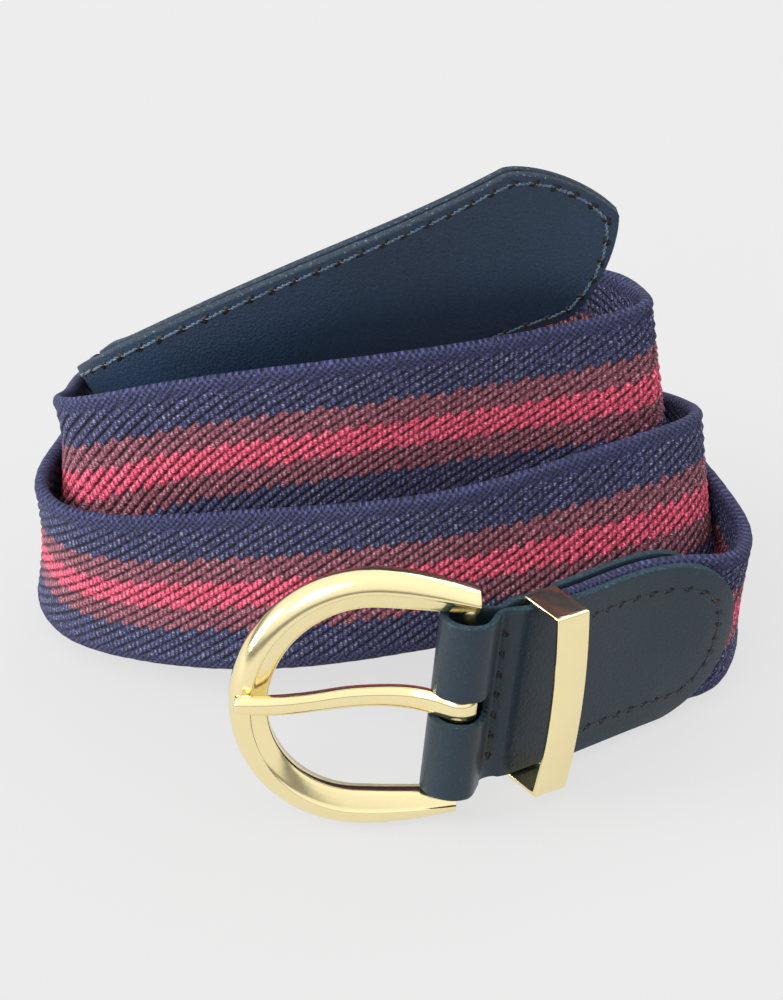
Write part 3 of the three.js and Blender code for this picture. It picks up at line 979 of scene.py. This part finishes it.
def prong_and_eye():
    """The prong, bent over the bar and down to the frame's nose, with the ring of its eye."""
    table = np.array(PRONG, float)
    places = np.linspace(table[0, 0], table[-1, 0], PRONG_STEPS)
    route, _ = natural_spline(table[:, 0], table[:, 1:])(places)
    section = [*PRONG_SIDE, *[(-across, out) for across, out in reversed(PRONG_SIDE)]]
    thick = PRONG_HALF_THICK
    rings = [
        [(place, half * across, height + thick * out) for across, out in section]
        for place, (height, half) in zip(places, route)
    ]
    verts = in_buckle(rings).reshape(-1, 3).tolist()
    faces = loft_faces(len(rings), len(section))
    ring_at = [(EYE_INNER, -EYE_HALF), (EYE_OUTER, -EYE_HALF), (EYE_OUTER, EYE_HALF), (EYE_INNER, EYE_HALF)]
    turns = np.linspace(0, 2 * np.pi, EYE_STEPS, endpoint=False)
    eye = [[(r * math.cos(u), y, r * math.sin(u)) for r, y in ring_at] for u in turns]
    faces += loft_faces(EYE_STEPS, len(ring_at), first=len(verts), closed=True)
    verts += in_buckle(eye).reshape(-1, 3).tolist()
    made = outward_faces(new_object("prong_metal", verts, faces, GOLD))
    return bevelled(made, width=0.3, segments=3, angle=24)


def keeper_outline(half, low, high):
    """A bowed front, two sides and a flat back, as (across, outward)."""
    t = np.linspace(0, 1, KEEPER_FRONT_STEPS + 1)[:, None]
    side = np.linspace(0, 1, KEEPER_SIDE_STEPS + 1)[1:-1, None]
    back = np.linspace(0, 1, KEEPER_BACK_STEPS + 1)[1:-1, None]
    front = (1 - t) ** 2 * [half, high] + 2 * t * (1 - t) * [0, high + 2 * KEEPER_BOW] + t**2 * [-half, high]
    left = np.array([-half, high]) + side * [0, low - high]
    under = np.array([-half, low]) + back * [2 * half, 0]
    right = np.array([half, low]) + side * [0, high - low]
    return np.concatenate([front, left, [[-half, low]], under, [[half, low]], right])


def keeper_loop():
    """The keeper: a flat metal band that runs once round the tab."""
    low = -KEEPER_METAL / 2
    outer = keeper_outline(KEEPER_HALF_HEIGHT, low, KEEPER_FRONT)
    inner = keeper_outline(KEEPER_HALF_HEIGHT - KEEPER_METAL, low + KEEPER_METAL, KEEPER_FRONT - KEEPER_METAL)
    point, along, up, out = frame_at(KEEPER_AT)
    rings = []
    for o, i in zip(outer, inner):
        ring = [(o, -1), (o, 1), (i, 1), (i, -1)]
        rings.append([point + up * p[0] + out * p[1] + along * side * KEEPER_WIDTH / 2 for p, side in ring])
    made = new_object("keeper_loop", np.array(rings) / 1000, loft_faces(len(rings), 4, closed=True), GOLD)
    return bevelled(outward_faces(made), width=0.28, segments=3, angle=40)


# Stitches


def stitch_places(start, turn_at, nose, half, power, pitch):
    """Needle holes along a rounded end, from the top edge round to the bottom edge, as (place, across)."""
    turn = np.linspace(0, np.pi, 721)
    c, s = np.cos(turn), np.sin(turn)
    corner = np.sign(c) * np.abs(c) ** (2 / power)
    reach = np.abs(s) ** (2 / power)
    round_end = np.stack([turn_at + (nose - turn_at) * reach, half * corner], 1)
    straight = np.linspace(start, turn_at, 200, endpoint=False)
    upper = np.stack([straight, np.full_like(straight, half)], 1)
    path = np.concatenate([upper, round_end, (upper * [1, -1])[::-1]])
    length = np.concatenate([[0], np.cumsum(np.linalg.norm(np.diff(path, axis=0), axis=1))])
    count = max(2, round(length[-1] / pitch))
    at = np.linspace(0, length[-1], count + 1)
    return np.stack([np.interp(at, length, path[:, 0]), np.interp(at, length, path[:, 1])], 1)


def crosswise(direction):
    """The direction turned by a quarter."""
    return np.array([-direction[1], direction[0]])


def thread_ply(a, b, ply, radius, rise, lean):
    """Rings of points of one ply of the thread from hole a to hole b, as (place, across, height)."""
    cross = crosswise((b - a) / np.linalg.norm(b - a))
    points = []
    for i in range(THREAD_STEPS + 1):
        t = THREAD_INSET + (1 - 2 * THREAD_INSET) * i / THREAD_STEPS
        swing = 2 * math.pi * PLY_TURNS * t + ply * math.pi
        side = lean * (t - 0.5) + radius * PLY_OFFSET * math.cos(swing)
        centre = a + (b - a) * t + cross * side
        arch = rise * math.sqrt(math.sin(math.pi * t))
        height = arch - radius * THREAD_SUNK + radius * PLY_OFFSET * math.sin(swing)
        full = min(1.0, THREAD_TAPER * min(t - 0.05, 0.95 - t))
        thin = radius * (THREAD_END_THIN + (1 - THREAD_END_THIN) * full)
        for u in np.linspace(0, 2 * math.pi, PLY_SIDES, endpoint=False):
            points.append((*(centre + cross * thin * math.cos(u)), height + thin * math.sin(u)))
    return points


def needle_hole(a, run, number, hole):
    """A ragged slanted hole with a point above and one below the leather, as (place, across, height)."""
    tilted = run * math.cos(HOLE_TILT) + crosswise(run) * math.sin(HOLE_TILT)
    points = []
    for u in np.linspace(0, 2 * np.pi, HOLE_SIDES, endpoint=False):
        ragged = 1 + HOLE_RAGGED * math.sin(3 * u + number * 2.4)
        long, short = hole * math.cos(u), hole * HOLE_FLATNESS * math.sin(u)
        points.append((*(a + (tilted * long + crosswise(tilted) * short) * ragged), 0.0))
    return [*points, (*a, HOLE_TOP), (*a, HOLE_BOTTOM)]


def hole_faces(first):
    """Faces from a hole's rim to the point above it and the point below it."""
    above, below = first + HOLE_SIDES, first + HOLE_SIDES + 1
    faces = []
    for j in range(HOLE_SIDES):
        here, there = first + j, first + (j + 1) % HOLE_SIDES
        faces += [(here, there, above), (there, here, below)]
    return faces


def stitch_row(holes, surface, side, radius, rise, lean, hole):
    """Two-ply thread and needle holes: holes are (place, across), and surface gives the distance outward."""
    thread, thread_faces, marks, mark_faces = [], [], [], []
    for a, b in zip(holes, holes[1:]):
        for ply in (0, 1):
            thread_faces += loft_faces(THREAD_STEPS + 1, PLY_SIDES, first=len(thread))
            thread += thread_ply(a, b, ply, radius, rise, lean)
    for k, a in enumerate(holes):
        run = holes[min(k + 1, len(holes) - 1)] - holes[max(k - 1, 0)]
        mark_faces += hole_faces(len(marks))
        marks += needle_hole(a, run / np.linalg.norm(run), k, hole)

    def placed(points):
        points = np.array(points)
        return on_strap(points[:, 0], points[:, 1], side * (surface(points[:, 0]) + points[:, 2]))

    return {"thread": (placed(thread), thread_faces), "holes": (placed(marks), mark_faces)}


def sewn(name, rows, thread):
    """One object with the threads and one with the needle holes of several rows."""
    for part, material in (("thread", thread), ("holes", HOLE)):
        verts, faces = [], []
        for row in rows:
            start = len(verts)
            row_verts, row_faces = row[part]
            verts += row_verts.tolist()
            faces += [tuple(start + v for v in f) for f in row_faces]
        made = outward_faces(new_object(f"{name}_{part}", verts, faces, material))
        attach(made, "strap")


def stitches():
    """The rows round the tip and round the tab, and the one across the tab beside the bar."""
    tip_holes = stitch_places(TIP_START + 2, STRAP_END - 16.5, STRAP_END - 2.3, **TIP_ROW)
    sewn("tip", [stitch_row(tip_holes, tip_surface, side, **TIP_STITCH) for side in (1, -1)], TIP_THREAD)
    tab_start = KEEPER_AT + 5.2
    front_holes = stitch_places(tab_start, 46.5, TAB_FRONT_END - 2.8, **TAB_ROW)
    back_holes = stitch_places(tab_start, 43.5, TAB_BACK_END - 2.8, **TAB_ROW)
    across = (np.arange(CROSS_ROW_HOLES) - CROSS_ROW_HOLES // 2) * CROSS_ROW_PITCH
    cross_holes = np.stack([np.full_like(across, STITCH_ROW_AT + 0.3), across], 1)
    rows = [
        stitch_row(front_holes, tab_surface, 1, **TAB_STITCH),
        stitch_row(back_holes, tab_surface, -1, **TAB_STITCH),
        stitch_row(cross_holes, tab_surface, 1, **CROSS_STITCH),
        stitch_row(cross_holes, tab_surface, -1, **CROSS_STITCH),
    ]
    sewn("tab", rows, TAB_THREAD)


# The belt


def belt():
    """Every visible piece, and a material for each node that they stand for."""
    elastic = elastic_webbing()
    for piece, body, node, slot in (
        (elastic, "strap", "elastic_strap", "elastic"),
        (tab_leather(), "strap", "buckle_tab", "leather"),
        (tip_leather("tip_front_leather", 1), "strap", "tip_front", "leather"),
        (tip_leather("tip_back_leather", -1), "strap", "tip_back", "leather"),
        (d_frame(), "frame", "buckle_frame", "gold"),
        (prong_and_eye(), "prong", "prong", "gold"),
        (keeper_loop(), "strap", "keeper", "gold"),
    ):
        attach(piece, body)
        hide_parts(node)
    for name, node in frame["nodes"].items():
        for slot in node.material_slots:
            slot.material = NODE_MATERIALS[name]
    stitches()


# Stage


def floor():
    """A wide pale floor at the height of the belt's lowest edge."""
    half = FLOOR_HALF
    corners = [(-half, -half, 0), (half, -half, 0), (half, half, 0), (-half, half, 0)]
    new_object("floor", corners, [(0, 1, 2, 3)], floor_material())


def area_light(name, place, aim, size, power):
    """A square light that faces a point."""
    data = bpy.data.lights.new(name, "AREA")
    data.size = size
    data.energy = power
    made = bpy.data.objects.new(name, data)
    bpy.context.scene.collection.objects.link(made)
    made.location = place
    made.rotation_mode = "QUATERNION"
    made.rotation_quaternion = (Vector(aim) - Vector(place)).to_track_quat("-Z", "Y")


def sky():
    """A world whose brightness depends on the height above the horizon."""
    world = bpy.data.worlds.new("studio")
    bpy.context.scene.world = world
    world.use_nodes = True
    tree = world.node_tree
    tree.nodes.clear()
    out = tree.nodes.new("ShaderNodeOutputWorld")
    back = tree.nodes.new("ShaderNodeBackground")
    ramp = tree.nodes.new("ShaderNodeValToRGB")
    split = tree.nodes.new("ShaderNodeSeparateXYZ")
    place = tree.nodes.new("ShaderNodeTexCoord")
    tree.links.new(place.outputs["Generated"], split.inputs[0])
    tree.links.new(split.outputs[2], ramp.inputs[0])
    tree.links.new(ramp.outputs[0], back.inputs[0])
    tree.links.new(back.outputs[0], out.inputs[0])
    fill_ramp(ramp.color_ramp, [(position, (level, level, level)) for position, level in SKY])
    back.inputs[1].default_value = SKY_STRENGTH


def camera():
    """The photograph's camera, fitted to the strap's width."""
    made = bpy.data.objects.new("camera", bpy.data.cameras.new("camera"))
    bpy.context.scene.collection.objects.link(made)
    bpy.context.scene.camera = made
    lift = math.radians(CAMERA_ELEVATION)
    toward = Vector((0, -math.cos(lift), math.sin(lift)))
    aim = Vector([(a + o) / 1000 for a, o in zip(CAMERA_AIM, OFFSET)])
    made.location = aim + toward * CAMERA_DISTANCE / 1000
    made.rotation_mode = "QUATERNION"
    made.rotation_quaternion = (-toward).to_track_quat("-Z", "Y")
    made.data.lens = CAMERA_LENS
    made.data.sensor_width = SENSOR_WIDTH
    made.data.clip_start = 0.01


belt()
floor()
sky()
for light in LIGHTS:
    area_light(*light)
camera()
bpy.context.scene.view_settings.view_transform = "Standard"
bpy.context.scene.view_settings.look = "None"
